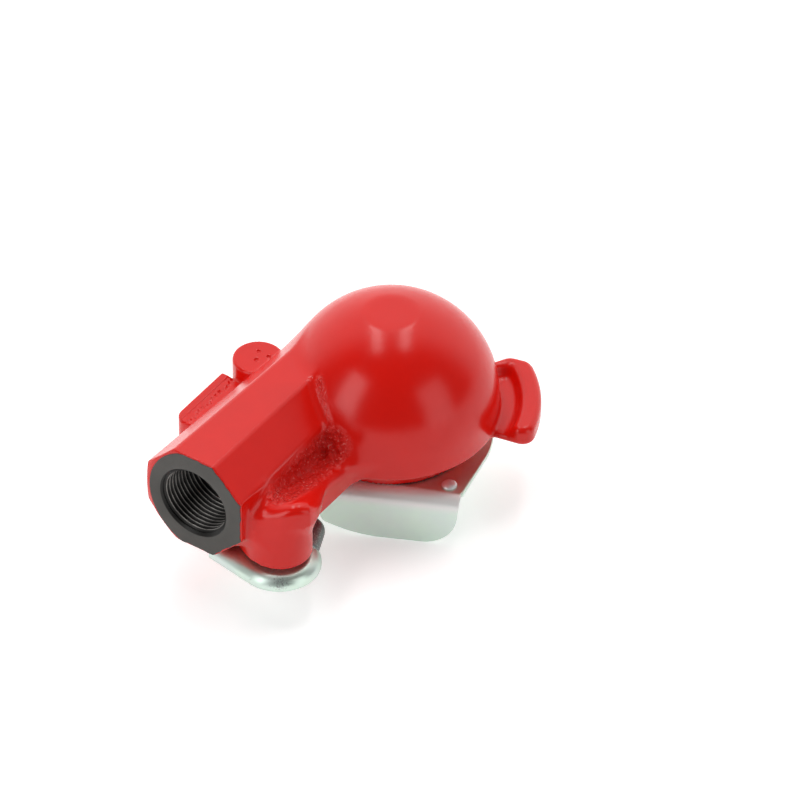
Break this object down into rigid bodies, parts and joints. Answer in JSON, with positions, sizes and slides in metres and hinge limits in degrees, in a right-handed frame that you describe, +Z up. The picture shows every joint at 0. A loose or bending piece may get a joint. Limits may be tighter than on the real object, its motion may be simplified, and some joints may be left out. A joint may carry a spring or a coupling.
{
  "type": "air brake coupling head",
  "caption": "Cast air brake coupling head with a domed hollow body, octagonal threaded neck, locking lug and claw, rubber sealing ring and a swinging sheet dust cover.",
  "frame": {"origin": "on the sealing axis, in the coupling plane where the sealing ring meets a mating head", "axes": "+Z up through the dome, away from the mating head; -X along the neck, out of the threaded mouth; +Y towards the claw"},
  "size_m": [0.1105, 0.086, 0.0621],
  "materials": {
    "red_paint": "satin red paint on cast iron",
    "seal_rubber": "matt black moulded rubber",
    "zinc_sheet": "bright zinc-plated pressed sheet steel",
    "rivet_steel": "zinc-plated rivet",
    "pin_steel": "plated turned steel"
  },
  "bodies": {
    "head": {"body": "red_paint", "seal_ring": "seal_rubber", "pivot_pin": "pin_steel"},
    "cover": {"dust_cover": "zinc_sheet", "stop_rivet": "rivet_steel"}
  },
  "joints": [
    {"name": "cover_swing", "type": "hinge", "parent": "head", "child": "cover", "pos_m": [-0.0621, -0.0039, 0], "axis": [0, 0, -1], "range_deg": [-2.5, 112]}
  ]
}
